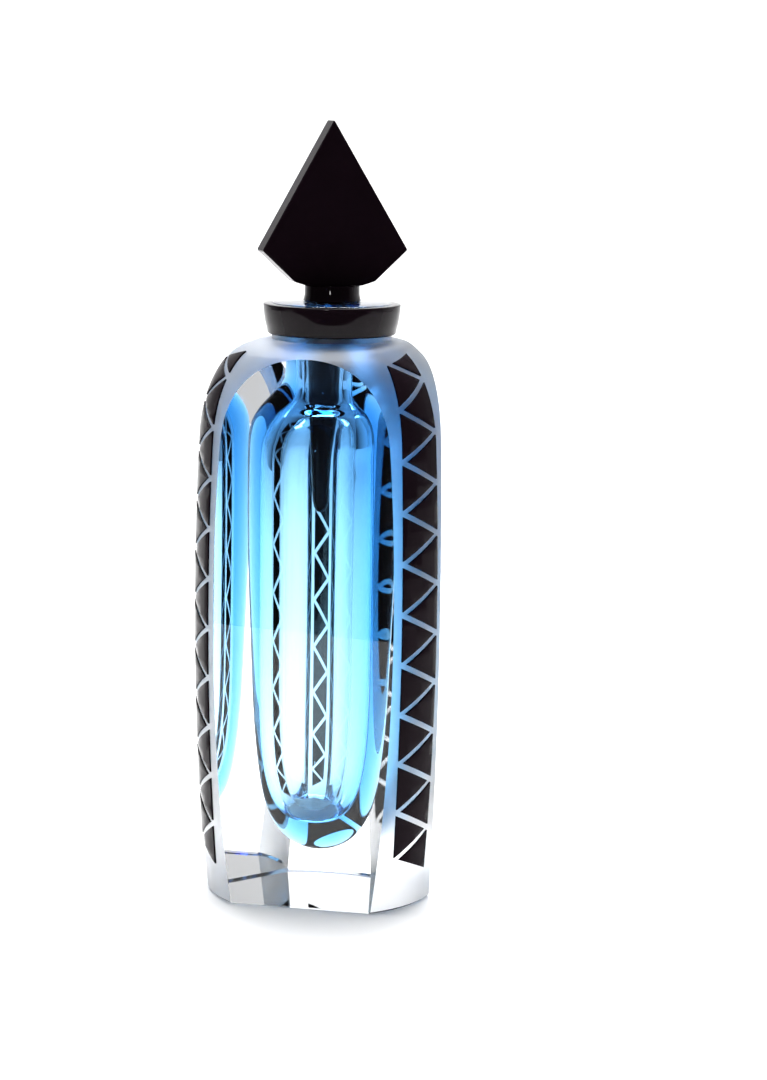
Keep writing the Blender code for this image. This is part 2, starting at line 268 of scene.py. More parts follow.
class Finish:
    """A material being built: the shader, and the nodes that feed it."""

    def __init__(self, name, shown, **values):
        self.made = bpy.data.materials.new(name)
        self.made.use_nodes = True
        self.made.diffuse_color = (*shown, 1.0)
        self.tree = self.made.node_tree
        self.shader = self.tree.nodes["Principled BSDF"]
        self.feed(self.shader, values)
        self.place = self.node("ShaderNodeTexCoord", {}, {}, "Object")

    def feed(self, node, values):
        for key, value in values.items():
            socket = node.inputs[key]
            if isinstance(value, Term):
                self.tree.links.new(value.socket, socket)
            elif hasattr(value, "__len__") and len(value) == 3 and len(socket.default_value) == 4:
                socket.default_value = (*value, 1.0)
            else:
                socket.default_value = value

    def node(self, kind, settings, values, output=0):
        """Adds a node with its settings made first, then its values or links, and returns an output."""
        node = self.tree.nodes.new(kind)
        for key, value in settings.items():
            if key == "stops":
                self.stops(node.color_ramp, value)
            else:
                setattr(node, key, value)
        self.feed(node, values)
        return Term(self, node.outputs[output])

    def stops(self, ramp, stops):
        while len(ramp.elements) < len(stops):
            ramp.elements.new(0.5)
        for element, (place, shade) in zip(ramp.elements, stops):
            element.position = place
            element.color = (*shade, 1.0)

    def noise(self, scale, detail=3.0, stretch=(1.0, 1.0, 1.0)):
        """Cloudy variation with this many clouds to the metre, stretched along an axis by a small number."""
        spread = self.node("ShaderNodeMapping", {}, {"Vector": self.place, "Scale": stretch})
        values = {"Vector": spread, "Scale": scale, "Detail": detail}
        return self.node("ShaderNodeTexNoise", {}, values, "Fac")

    def mix_colours(self, share, first, second):
        """Mixes two colours by a share from 0 to 1."""
        return self.node("ShaderNodeMix", {"data_type": "RGBA"}, {0: share, 6: first, 7: second}, 2)

    def level(self, low, high):
        """Returns a value that climbs from 0 at the height low to 1 at the height high."""
        height = self.node("ShaderNodeSeparateXYZ", {}, {0: self.place}, "Z")
        values = {"Value": height, "From Min": low, "From Max": high}
        return self.node("ShaderNodeMapRange", {"interpolation_type": "SMOOTHSTEP"}, values)

    def bump(self, height, strength, distance):
        values = {"Height": height, "Strength": strength, "Distance": distance}
        return self.node("ShaderNodeBump", {}, values, "Normal")

    def wear(self, **values):
        """Links what changes over the surface, and returns the material."""
        names = {key: key.replace("_", " ") for key in values}
        self.feed(self.shader, {names[key]: value for key, value in values.items()})
        return self.made


def scaled(shade, factor):
    """Returns a colour made darker or lighter by a factor."""
    return tuple(channel * factor for channel in shade)


def clear_polish(finishes):
    """Polished clear glass, with faint drawn striae."""
    glass = Finish(
        "polished_clear_glass", finishes.clear, **{"Transmission Weight": 1.0, "IOR": 1.5, "Roughness": 0.0}
    )
    striae = glass.noise(90.0, 2.0, (1.0, 1.0, 0.15))
    tint = glass.mix_colours(striae, finishes.clear, scaled(finishes.clear, 0.985))
    return glass.wear(Base_Color=tint, Normal=glass.bump(striae, 0.03, 0.0001))


def satin_ground(finishes):
    """Glass ground to a fine silky frost, with painted shade that darkens it towards the shoulder."""
    glass = Finish(
        "frosted_clear_glass", finishes.satin, **{"Transmission Weight": 1.0, "IOR": 1.5}
    )
    cloud = glass.noise(140.0)
    grain = glass.noise(9000.0, 2.0)
    clouded = glass.mix_colours(cloud, finishes.satin, scaled(finishes.satin, 0.95))
    # Painted shade: the frost darkens from 15 mm up to the shoulder's shade colour at 110 mm
    tint = glass.mix_colours(glass.level(0.015, 0.110), clouded, finishes.satin_painted_shade)
    rough = finishes.satin_grain + (cloud - 0.5) * 0.06
    return glass.wear(Base_Color=tint, Roughness=rough, Normal=glass.bump(grain, 0.15, 0.00002))


def black_back(finishes):
    """The inner face of the black glass, seen through the clear body."""
    glass = Finish("black_glass_underside", finishes.black, **{"Specular IOR Level": 0.0, "Roughness": 1.0})
    cloud = glass.noise(160.0)
    tint = glass.mix_colours(cloud, scaled(finishes.black, 1.2), scaled(finishes.black, 0.8))
    return glass.wear(Base_Color=tint)


def blue_bubble(finishes):
    """Blue glass, which only colours what passes through it because it is fused to the clear body."""
    glass = Finish(
        "blue_bubble_glass", finishes.bubble, **{"Transmission Weight": 1.0, "IOR": 1.02, "Roughness": 0.0}
    )
    depth = glass.tree.nodes.new("ShaderNodeVolumeAbsorption")
    depth.inputs["Color"].default_value = (*finishes.bubble, 1.0)
    depth.inputs["Density"].default_value = finishes.depth
    glass.tree.links.new(depth.outputs[0], glass.tree.nodes["Material Output"].inputs["Volume"])
    cloud = glass.noise(60.0, 2.0, (1.0, 1.0, 0.3))
    climb = glass.level(0.085, 0.128)
    plain = glass.mix_colours(cloud, (1.0, 1.0, 1.0), (0.97, 0.99, 1.0))
    return glass.wear(Base_Color=glass.mix_colours(climb, plain, finishes.bubble_top))


def black_polish(finishes, name="polished_black_glass", shine=0.12):
    """Polished opaque black glass with the faintest smears."""
    glass = Finish(name, finishes.black, **{"IOR": 1.5, "Specular IOR Level": shine})
    cloud = glass.noise(110.0)
    smear = glass.noise(700.0, 4.0, (1.0, 1.0, 0.4))
    tint = glass.mix_colours(cloud, finishes.black, scaled(finishes.black, 1.6))
    rough = 0.035 + cloud * 0.05
    return glass.wear(Base_Color=tint, Roughness=rough, Normal=glass.bump(smear, 0.03, 0.00003))


def black_cut(finishes):
    """Black glass cut and polished to flat facets, which shine less than the collar."""
    return black_polish(finishes, "cut_black_glass", 0.03)


def black_ground(finishes):
    """Black glass ground matt where it seals."""
    glass = Finish("ground_black_glass", finishes.black, **{"IOR": 1.5})
    cloud = glass.noise(200.0)
    grain = glass.noise(6000.0, 2.0)
    tint = glass.mix_colours(cloud, scaled(finishes.black, 2.0), scaled(finishes.black, 3.5))
    return glass.wear(Base_Color=tint, Roughness=0.42 + cloud * 0.12, Normal=glass.bump(grain, 0.3, 0.00003))


def finish_of(name, make, finishes):
    """Returns a material by name, made the first time it is asked for."""
    return bpy.data.materials.get(name) or make(finishes)


def object_from(name, bm, materials, sharp):
    """Turns a bmesh into a named object with outward faces, smooth rounds and crisp edges."""
    bmesh.ops.remove_doubles(bm, verts=bm.verts, dist=MERGE)
    bmesh.ops.dissolve_degenerate(bm, edges=bm.edges, dist=MERGE)
    bmesh.ops.recalc_face_normals(bm, faces=bm.faces)
    mesh = bpy.data.meshes.new(name)
    bm.to_mesh(mesh)
    bm.free()
    mesh.shade_smooth()
    mesh.set_sharp_from_angle(angle=math.radians(sharp))
    for made in materials:
        mesh.materials.append(made)
    piece = bpy.data.objects.new(name, mesh)
    bpy.context.scene.collection.objects.link(piece)
    return piece


def settle(piece, body, slot, *nodes):
    """Lets a finished piece ride on a body and stand for its nodes; the slot is not used."""
    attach(piece, body)
    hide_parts(*nodes)


def curve_through(points, steps):
    """Samples a smooth curve through each point, level where it starts on the axis."""
    knots = np.array(points)
    before = knots[1] * (-1.0, 1.0) if knots[0][0] == 0.0 else 2 * knots[0] - knots[1]
    ends = np.vstack([before, knots, 2 * knots[-1] - knots[-2]])
    samples = []
    for i in range(1, len(ends) - 2):
        a, b, c, d = ends[i - 1 : i + 3]
        for t in np.linspace(0.0, 1.0, steps, endpoint=False):
            bend = (2 * a - 5 * b + 4 * c - d) * t**2 + (3 * b - a - 3 * c + d) * t**3
            samples.append((2 * b + (c - a) * t + bend) / 2)
    samples.append(knots[-1])
    return [(max(0.0, float(r)), float(z)) for r, z in samples]


def grown(outline, gap):
    """Moves a curve that starts on the axis outwards by a gap, square to itself."""
    points = np.array(outline)
    runs = np.gradient(points, axis=0)
    runs[0] = (1.0, 0.0)
    normals = np.stack([runs[:, 1], -runs[:, 0]], axis=1) / np.hypot(runs[:, 0], runs[:, 1])[:, None]
    return [(float(r), float(z)) for r, z in points + gap * normals]


def eased(z, start, end):
    """Climbs smoothly from 0 at the start height to 1 at the end height."""
    share = min(1.0, max(0.0, (z - start) / (end - start)))
    return share * share * (3.0 - 2.0 * share)


def hoop(bm, centre_x, radius, z, sides):
    """Adds one ring of points round the upright axis."""
    angles = [math.tau * i / sides for i in range(sides)]
    radius = max(radius, TINY)
    return [bm.verts.new((centre_x + radius * math.sin(a), -radius * math.cos(a), z)) for a in angles]


def skin(bm, rings):
    """Joins each ring to the next with quads."""
    for low, high in zip(rings[:-1], rings[1:]):
        for i in range(len(low)):
            j = (i + 1) % len(low)
            bm.faces.new((low[i], low[j], high[j], high[i]))


def turned(name, outline, materials, sides=96, sharp=30.0, closed=False):
    """Turns an outline of (radius, height) pairs round the neck's axis."""
    centre = bpy.context.scene.scent_body.neck_shift
    bm = bmesh.new()
    rings = [hoop(bm, centre, r, z, sides) for r, z in outline]
    skin(bm, rings)
    if closed:
        skin(bm, [rings[-1], rings[0]])
    return object_from(name, bm, materials, sharp)


def arc(centre, radius, start, end, steps):
    """Points on an arc, as (radius, height), from one angle in degrees to another."""
    angles = [math.radians(start + (end - start) * i / steps) for i in range(steps + 1)]
    return [(centre[0] + radius * math.cos(a), centre[1] + radius * math.sin(a)) for a in angles]


class Barrel:
    """The outer surface of the clear body, unrolled into a strip of (across, height).

    The strip holds three equal lengths. Each is a frosted strip, a carved band, a frosted strip
    and a polished flat.
    """

    STRIP = 0.004
    FLAT = 0.030

    def __init__(self, scene):
        self.body = scene.scent_body
        self.bands = scene.scent_bands
        self.length = 2 * self.STRIP + self.bands.width + self.FLAT

    def radius(self, z):
        """Radius before the flats are cut."""
        b = self.body
        barrel = b.radius - b.bulge * (z - b.waist) ** 2 - max(0.0, b.chamfer - z)
        climb = min(1.0, max(0.0, (z - b.shoulder_start) / (b.shoulder_top - b.shoulder_start)))
        neck = b.neck - self.rim_cut(z)
        return neck + (barrel - b.neck) * (1.0 - climb**b.shoulder_rise) ** (1.0 / b.shoulder_round)

    def centre(self, z):
        """How far the body's axis has moved over to the neck at this height."""
        return self.body.neck_shift * eased(z, self.body.shift_start, self.body.shoulder_top)

    def rim_cut(self, z):
        over = max(0.0, z - (self.body.rim - self.body.rim_round))
        return self.body.rim_round - math.sqrt(max(0.0, self.body.rim_round**2 - over**2))

    def half_flat(self, z):
        """Half the angle that a flat covers at this height."""
        flat = self.body.flat - max(0.0, self.body.chamfer - z)
        return math.acos(min(1.0, flat / self.radius(z)))

    def point(self, angle, z):
        radius = self.radius(z)
        return Vector((self.centre(z) + radius * math.sin(angle), -radius * math.cos(angle), z))

    def place(self, across, z):
        """Returns the point in space for a place on the unrolled strip."""
        corner, along = divmod(across, self.length)
        middle = math.radians(60.0 + 120.0 * corner)
        half_corner = math.pi / 3 - self.half_flat(z)
        half_band = self.bands.angle / 2
        width = self.bands.width
        if along < self.STRIP:
            return self.point(middle - half_corner + (half_corner - half_band) * along / self.STRIP, z)
        if along <= self.STRIP + width:
            return self.point(middle + self.bands.angle * ((along - self.STRIP) / width - 0.5), z)
        if along < 2 * self.STRIP + width:
            share = (along - self.STRIP - width) / self.STRIP
            return self.point(middle + half_band + (half_corner - half_band) * share, z)
        share = (along - 2 * self.STRIP - width) / self.FLAT
        start = self.point(middle + half_corner, z)
        end = self.point(middle + half_corner + 2 * self.half_flat(z), z)
        return start.lerp(end, share)

    def normal(self, across, z):
        """Returns the outward direction on a band or a frosted strip."""
        step = 1e-5
        slope = (self.radius(z + step) - self.radius(z - step)) / (2 * step)
        here = self.place(across, z)
        angle = math.atan2(here.x - self.centre(z), -here.y)
        return Vector((math.sin(angle), -math.cos(angle), -slope)).normalized()

    def apex(self):
        """Height where a flat runs out into the shoulder."""
        low, high = self.body.shoulder_start, self.body.shoulder_top
        for _ in range(40):
            middle = (low + high) / 2
            low, high = (middle, high) if self.radius(middle) > self.body.flat else (low, middle)
        return low

    def columns(self):
        """Places across the strip where the mesh has an upright line."""
        stops = []
        for corner in range(3):
            start = corner * self.length
            for width, steps in ((self.STRIP, 7), (self.bands.width, 6), (self.STRIP, 7), (self.FLAT, 8)):
                stops += [start + width * i / steps for i in range(steps)]
                start += width
        return stops + [3 * self.length]

    def levels(self):
        """Heights where the mesh has a level line."""
        b = self.body
        side = np.linspace(b.chamfer, b.shoulder_start, 40, endpoint=False)
        apex = self.apex()
        arch = apex - (apex - b.shoulder_start) * (1.0 - np.linspace(0.0, 1.0, 26)) ** 2.0
        over = b.shoulder_top - (b.shoulder_top - apex) * (1.0 - np.linspace(0.0, 1.0, 8)) ** 2.0
        neck = [COLLAR_BOX[0][2]]
        turn = b.rim - b.rim_round * (1.0 - np.sin(np.linspace(0.0, math.pi / 2, 5)))
        return [0.0, *side, *arch, *over[1:], *neck, *turn]


class Zigzag:
    """A band's triangles on the flat, as (across, height) with across from 0 to the band's width."""

    def __init__(self, bands):
        self.bands = bands
        left = [bands.first + bands.pitch * k for k in range(bands.points)]
        right = [bands.first + bands.stagger + bands.pitch * k for k in range(-1, bands.points)]
        left[-1] = bands.top - bands.top_drop
        right[0] = bands.bottom
        right[-1] = bands.top
        whole = []
        for k in range(bands.points):
            whole.append(((0.0, left[k]), (bands.width, right[k]), (bands.width, right[k + 1])))
            if k + 1 < bands.points:
                whole.append(((bands.width, right[k + 1]), (0.0, left[k]), (0.0, left[k + 1])))
        self.sides = [self.trim_lines(triangle) for triangle in whole]
        self.triangles = [self.trimmed(t, s) for t, s in zip(whole, self.sides)]

    def trim_lines(self, triangle):
        """The two sloping sides moved in by half a groove, as (place, direction)."""
        point, low, high = triangle
        middle = [sum(corner[i] for corner in triangle) / 3 for i in (0, 1)]
        lines = []
        for corner in (low, high):
            run = (corner[0] - point[0], corner[1] - point[1])
            size = math.hypot(*run)
            inward = (-run[1] / size, run[0] / size)
            facing = (middle[0] - point[0]) * inward[0] + (middle[1] - point[1]) * inward[1]
            step = math.copysign(self.bands.groove / 2, facing)
            lines.append(((point[0] + inward[0] * step, point[1] + inward[1] * step), run))
        return lines

    def trimmed(self, triangle, lines):
        base = (0.0, 1.0)
        return (
            crossing(*lines[0], *lines[1]),
            crossing(*lines[0], triangle[1], base),
            crossing(*lines[1], triangle[2], base),
        )

    def holds(self, across, z):
        """True inside a black triangle."""
        return any(inside((across, z), triangle) for triangle in self.triangles)


def crossing(p, p_run, q, q_run):
    """Returns where two lines in the plane meet."""
    cross = p_run[0] * q_run[1] - p_run[1] * q_run[0]
    t = ((q[0] - p[0]) * q_run[1] - (q[1] - p[1]) * q_run[0]) / cross
    return (p[0] + p_run[0] * t, p[1] + p_run[1] * t)


def inside(place, triangle):
    """True if a place in the plane is inside a triangle."""
    turns = []
    for a, b in zip(triangle, (*triangle[1:], triangle[0])):
        turns.append((b[0] - a[0]) * (place[1] - a[1]) - (b[1] - a[1]) * (place[0] - a[0]))
    return min(turns) >= 0.0 or max(turns) <= 0.0


def slice_faces(bm, faces, place, normal):
    """Cuts these faces of a flat mesh along a line."""
    geom = set(faces)
    for face in faces:
        geom.update(face.edges)
        geom.update(face.verts)
    bmesh.ops.bisect_plane(bm, geom=list(geom), dist=TINY, plane_co=(*place, 0.0), plane_no=(*normal, 0.0))


def cut_bands(bm, barrel, zigzag):
    """Cuts each band of the unrolled body along the edges of its triangles."""
    for corner in range(3):
        start = corner * barrel.length + barrel.STRIP
        for triangle, sides in zip(zigzag.triangles, zigzag.sides):
            low = min(z for _, z in triangle) - zigzag.bands.groove
            high = max(z for _, z in triangle) + zigzag.bands.groove
            for place, run in sides:
                faces = []
                for face in bm.faces:
                    centre = face.calc_center_median()
                    if start < centre.x < start + zigzag.bands.width and low < centre.y < high:
                        faces.append(face)
                slice_faces(bm, faces, (place[0] + start, place[1]), (-run[1], run[0]))


def finish_faces(bm, barrel, zigzag):
    """Gives each face of the unrolled body its finish: polished, frosted or backed with black."""
    for face in bm.faces:
        centre = face.calc_center_median()
        along = centre.x % barrel.length - barrel.STRIP
        face.material_index = SATIN
        if COLLAR_BOX[0][2] < centre.y < barrel.body.rim - barrel.body.rim_round:
            face.material_index = BACKED
        elif centre.y > COLLAR_BOX[1][2] or along > barrel.bands.width + barrel.STRIP:
            face.material_index = POLISHED
        elif 0.0 < along < barrel.bands.width and zigzag.holds(along, centre.y):
            face.material_index = BACKED
        if centre.y < barrel.body.chamfer:
            face.material_index = POLISHED


def inner_centre(scene, shift, z):
    """Sideways place of an inner shape, from its own shift to that of the neck."""
    bubble = scene.scent_bubble
    share = eased(z, bubble.shift_end, bubble.shift_end + bubble.shift_fade)
    return shift + (scene.scent_body.neck_shift - shift) * share


def boundary_at(bm, z):
    """Open edges that lie at this height."""
    edges = [edge for edge in bm.edges if edge.is_boundary]
    return [edge for edge in edges if all(abs(vert.co.z - z) < MERGE for vert in edge.verts)]


def build_body(scene):
    """The clear glass body: barrel with polished flats, neck, rim and the hollow for the scent."""
    barrel = Barrel(scene)
    bubble = scene.scent_bubble
    zigzag = Zigzag(scene.scent_bands)
    bm = bmesh.new()
    columns = barrel.columns()
    rows = [[bm.verts.new((x, z, 0.0)) for x in columns] for z in barrel.levels()]
    for low, high in zip(rows[:-1], rows[1:]):
        for i in range(len(columns) - 1):
            bm.faces.new((low[i], low[i + 1], high[i + 1], high[i]))
    cut_bands(bm, barrel, zigzag)
    finish_faces(bm, barrel, zigzag)
    for vert in bm.verts:
        vert.co = barrel.place(vert.co.x, vert.co.y)
    bmesh.ops.remove_doubles(bm, verts=bm.verts, dist=MERGE)
    bmesh.ops.dissolve_degenerate(bm, edges=bm.edges, dist=MERGE)
    bmesh.ops.triangulate(bm, faces=[face for face in bm.faces if len(face.verts) > 4])
    foot = bmesh.ops.contextual_create(bm, geom=boundary_at(bm, 0.0))["faces"]
    for face in foot:
        face.material_index = POLISHED
    wall = curve_through(HOLLOW_OUTLINE, 8)
    wall[-1] = (wall[-1][0] + barrel.body.rim_round, barrel.body.rim)
    wall.insert(-1, (wall[-2][0], barrel.body.rim - barrel.body.rim_round))
    rings = [hoop(bm, inner_centre(scene, bubble.hollow_shift, z), r, z, bubble.sides) for r, z in wall]
    skin(bm, rings)
    bmesh.ops.remove_doubles(bm, verts=rings[0], dist=MERGE)
    bmesh.ops.triangle_fill(bm, use_beauty=True, edges=boundary_at(bm, barrel.body.rim))
    materials = [
        finish_of("polished_clear_glass", clear_polish, scene.scent_finishes),
        finish_of("frosted_clear_glass", satin_ground, scene.scent_finishes),
        finish_of("black_glass_underside", black_back, scene.scent_finishes),
    ]
    piece = object_from("clear_glass_body", bm, materials, 24.0)
    settle(piece, BODY, "clear_glass", "glass_casing")


def build_bubble(scene):
    """The blue glass between the clear body and the hollow."""
    bubble = scene.scent_bubble
    bm = bmesh.new()
    rings = []
    for r, z in curve_through(BUBBLE_OUTLINE, 8):
        rings.append(hoop(bm, inner_centre(scene, bubble.shift, z), r, z, bubble.sides))
    for r, z in reversed(grown(curve_through(HOLLOW_OUTLINE, 8), bubble.skin)):
        z = min(z, BUBBLE_OUTLINE[-1][1])
        rings.append(hoop(bm, inner_centre(scene, bubble.hollow_shift, z), r, z, bubble.sides))
    skin(bm, rings)
    blue = finish_of("blue_bubble_glass", blue_bubble, scene.scent_finishes)
    piece = object_from("blue_glass_bubble", bm, [blue], 40.0)
    settle(piece, BODY, "blue_glass", "blue_liner")


def raise_triangle(bm, triangle, bands):
    """Adds one triangle as a low prism with softened upper edges, on the flat."""
    lower = [bm.verts.new((across, z, 0.0)) for across, z in triangle]
    upper = [bm.verts.new((across, z, bands.relief)) for across, z in triangle]
    faces = [bm.faces.new(lower), bm.faces.new(upper)]
    for i in range(3):
        j = (i + 1) % 3
        faces.append(bm.faces.new((lower[i], lower[j], upper[j], upper[i])))
    bmesh.ops.recalc_face_normals(bm, faces=faces)
    rim = [edge for edge in faces[1].edges] + [bm.edges.get((a, b)) for a, b in zip(lower, upper)]
    bmesh.ops.bevel(bm, geom=rim, offset=bands.edge, segments=2, profile=0.5, affect="EDGES")


def build_band(scene, corner):
    """One carved band: a zigzag of raised black triangles bent onto a corner of the body."""
    barrel = Barrel(scene)
    bands = scene.scent_bands
    zigzag = Zigzag(bands)
    bm = bmesh.new()
    for triangle in zigzag.triangles:
        raise_triangle(bm, triangle, bands)
    for i in range(1, 6):
        slice_faces(bm, bm.faces[:], (bands.width * i / 6, 0.0), (1.0, 0.0))
    for z in barrel.levels():
        if 0.0 < z < bands.top:
            slice_faces(bm, bm.faces[:], (0.0, z), (0.0, 1.0))
    bmesh.ops.triangulate(bm, faces=[face for face in bm.faces if len(face.verts) > 4])
    start = CORNERS.index(corner) * barrel.length + barrel.STRIP
    for vert in bm.verts:
        across, z, lift = vert.co.x + start, vert.co.y, vert.co.z + bands.seat
        vert.co = barrel.place(across, z) + barrel.normal(across, z) * lift
    black = finish_of("cut_black_glass", black_cut, scene.scent_finishes)
    piece = object_from(f"carved_band_{corner}", bm, [black], 25.0)
    nodes = [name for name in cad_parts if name.startswith(corner)]
    settle(piece, BODY, "black_glass", *nodes)


def build_collar(scene):
    """The black collar, cased on the neck and cut to a tapering cup."""
    sizes = scene.scent_stopper
    low, high = COLLAR_BOX[0][2], COLLAR_BOX[1][2]
    outer = -COLLAR_BOX[0][1]
    inner = scene.scent_body.neck + scene.scent_bands.seat
    edge = sizes.collar_edge
    height = high - low
    side = [(sizes.collar_foot, low + edge)]
    side += [(sizes.collar_foot + grows, low + share * height) for share, grows in COLLAR_FLARE]
    side += [(outer - edge / 3, low + COLLAR_STRAIGHT * height), (outer, high - edge)]
    outline = [(inner, high), (inner, low), (sizes.collar_foot - edge, low)]
    outline += curve_through(side, 5)
    outline += arc((outer - edge, high - edge), edge, 0.0, 90.0, 4)
    black = finish_of("polished_black_glass", black_polish, scene.scent_finishes)
    piece = turned("black_collar", outline, [black], 128, 30.0, closed=True)
    settle(piece, BODY, "black_glass", "collar_band")


def build_peg(scene):
    """The stopper's polished shank and, below the rim, its ground taper."""
    sizes = scene.scent_stopper
    low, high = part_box("stopper_peg")[0][2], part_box("stopper_finial")[0][2] - scene.scent_bands.seat
    rim = scene.scent_body.rim
    edge = sizes.peg_edge
    outline = [(0.0, low), *arc((sizes.peg_end - edge, low + edge), edge, -90.0, 0.0, 4)]
    outline += [(sizes.peg_top, rim - 2 * edge), (sizes.peg_top, rim)]
    outline += [(sizes.shank_foot, rim + 2 * edge), (sizes.shank, rim + sizes.shank_rise)]
    outline += [(sizes.shank, high)]
    outline += [(0.0, high)]
    black = finish_of("polished_black_glass", black_polish, scene.scent_finishes)
    ground = finish_of("ground_black_glass", black_ground, scene.scent_finishes)
    piece = turned("ground_peg", outline, [black, ground], 96)
    for face in piece.data.polygons:
        face.material_index = int(low + edge < face.center.z < rim - edge)
    settle(piece, PLUG, "black_glass", "stopper_peg")


def build_rod(scene):
    """The dauber rod, which tapers to a round tip."""
    sizes = scene.scent_stopper
    low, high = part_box("dauber_rod")[0][2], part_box("dauber_rod")[1][2]
    outline = [(0.0, high), (sizes.rod_top, high)]
    for i in range(1, 16):
        share = 0.9 * i / 15
        waist = sizes.rod_top + (sizes.rod_tip - sizes.rod_top) * share**0.8
        outline.append((waist, high - (high - low) * share))
    outline += arc((0.0, low + sizes.rod_tip), sizes.rod_tip, 0.0, -90.0, 8)
    black = finish_of("polished_black_glass", black_polish, scene.scent_finishes)
    piece = turned("dauber", outline, [black], 96)
    settle(piece, PLUG, "black_glass", "dauber_rod")


def build_plate(scene):
    """The flat, pointed diamond of the stopper, with bevelled faces."""
    sizes = scene.scent_stopper
    low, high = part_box("stopper_finial")[0][2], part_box("stopper_finial")[1][2]
    half = [(sizes.shank, low), (sizes.foot_half, sizes.foot), (sizes.half_width, sizes.wide)]
    outline = [*half, (-sizes.tip_lean, high)] + [(-x, z) for x, z in reversed(half)]
    bm = bmesh.new()
    front = [bm.verts.new((x, -sizes.thickness / 2, z)) for x, z in outline]
    back = [bm.verts.new((x, sizes.thickness / 2, z)) for x, z in outline]
    bm.faces.new(front)
    bm.faces.new(back)
    for i in range(len(front)):
        j = (i + 1) % len(front)
        bm.faces.new((front[i], front[j], back[j], back[i]))
    bmesh.ops.recalc_face_normals(bm, faces=bm.faces)
    bmesh.ops.bevel(bm, geom=bm.edges[:], offset=sizes.bevel, segments=2, profile=0.5, affect="EDGES")
    bmesh.ops.rotate(bm, verts=bm.verts, cent=(0, 0, 0), matrix=Matrix.Rotation(sizes.turn, 3, "Z"))
    bmesh.ops.translate(bm, verts=bm.verts, vec=(scene.scent_body.neck_shift, 0.0, 0.0))
    black = finish_of("cut_black_glass", black_cut, scene.scent_finishes)
    piece = object_from("diamond_plate", bm, [black], 14.0)
    settle(piece, TOP, "black_glass", "stopper_finial")


def build_camera(scene):
    """The camera, a little above the bottle and to the right of its front."""
    stage = scene.scent_stage
    turn = Matrix.Rotation(stage.azimuth, 3, "Z")
    ahead = Vector((math.sin(stage.yaw), math.cos(stage.yaw), 0.0))
    right = Vector((math.cos(stage.yaw), -math.sin(stage.yaw), 0.0))
    upright = Vector((0.0, 0.0, 1.0))
    forward = ahead * math.cos(stage.pitch) - upright * math.sin(stage.pitch)
    up = ahead * math.sin(stage.pitch) + upright * math.cos(stage.pitch)
    side = right * math.cos(stage.roll) + up * math.sin(stage.roll)
    top = up * math.cos(stage.roll) - right * math.sin(stage.roll)
    axes = Matrix((turn @ side, turn @ top, turn @ -forward)).transposed()
    data = bpy.data.cameras.new("camera")
    data.sensor_fit = "VERTICAL"
    data.sensor_height = 36.0
    data.lens = stage.lens
    data.clip_start = 0.01
    camera = bpy.data.objects.new("camera", data)
    stand = turn @ Vector((0.0, -stage.distance, stage.height))
    camera.matrix_world = Matrix.Translation(stand) @ axes.to_4x4()
    scene.collection.objects.link(camera)
    scene.camera = camera


def build_light(scene, name, place, size, power, shade):
    """A soft square light that faces the middle of the bottle."""
    data = bpy.data.lights.new(name, "AREA")
    data.size = size
    data.energy = power
    data.color = shade
    light = bpy.data.objects.new(name, data)
    light.location = place
    aim = Vector((0.0, 0.0, 0.08)) - Vector(place)
    light.rotation_euler = aim.to_track_quat("-Z", "Y").to_euler()
    scene.collection.objects.link(light)


def build_floor(scene):
    """A pale table top that sweeps up into a wall behind the bottle."""
    stage = scene.scent_stage
    bm = bmesh.new()
    turn = stage.sweep
    profile = [(-stage.front, 0.0), (stage.wall - turn, 0.0)]
    profile += arc((stage.wall - turn, turn), turn, -90.0, 0.0, 12)[1:]
    profile += [(stage.wall, stage.tall)]
    left = [bm.verts.new((-stage.wide, y, z - stage.drop)) for y, z in profile]
    right = [bm.verts.new((stage.wide, y, z - stage.drop)) for y, z in profile]
    for i in range(len(profile) - 1):
        bm.faces.new((left[i], right[i], right[i + 1], left[i + 1]))
    paper = Finish("pale_paper", (0.9, 0.9, 0.9), Roughness=0.9)
    cloud = paper.noise(6.0)
    paper.wear(Base_Color=paper.mix_colours(cloud, (0.90, 0.90, 0.90), (0.88, 0.88, 0.88)))
    floor = object_from("pale_sweep", bm, [paper.made], 60.0)
    floor.rotation_euler = (0.0, 0.0, stage.azimuth)


def build_air(scene):
    """The studio's soft light from all round: bright behind the bottle and dim in front of it."""
    stage = scene.scent_stage
    world = bpy.data.worlds.new("studio")
    world.use_nodes = True
    scene.world = world
    nodes, links = world.node_tree.nodes, world.node_tree.links
    place = nodes.new("ShaderNodeTexCoord")
    split = nodes.new("ShaderNodeSeparateXYZ")
    ramp = nodes.new("ShaderNodeMapRange")
    ramp.inputs["From Min"].default_value = stage.front_end
    ramp.inputs["From Max"].default_value = stage.back_start
    ramp.inputs["To Min"].default_value = stage.front_light
    ramp.inputs["To Max"].default_value = stage.back_light
    links.new(place.outputs["Generated"], split.inputs[0])
    links.new(split.outputs["Y"], ramp.inputs["Value"])
    seen = nodes.new("ShaderNodeLightPath")
    pick = nodes.new("ShaderNodeMix")
    pick.inputs[3].default_value = stage.backdrop
    links.new(seen.outputs["Is Camera Ray"], pick.inputs[0])
    links.new(ramp.outputs[0], pick.inputs[2])
    links.new(pick.outputs[0], nodes["Background"].inputs["Strength"])
    nodes["Background"].inputs["Color"].default_value = (0.98, 0.98, 1.0, 1.0)


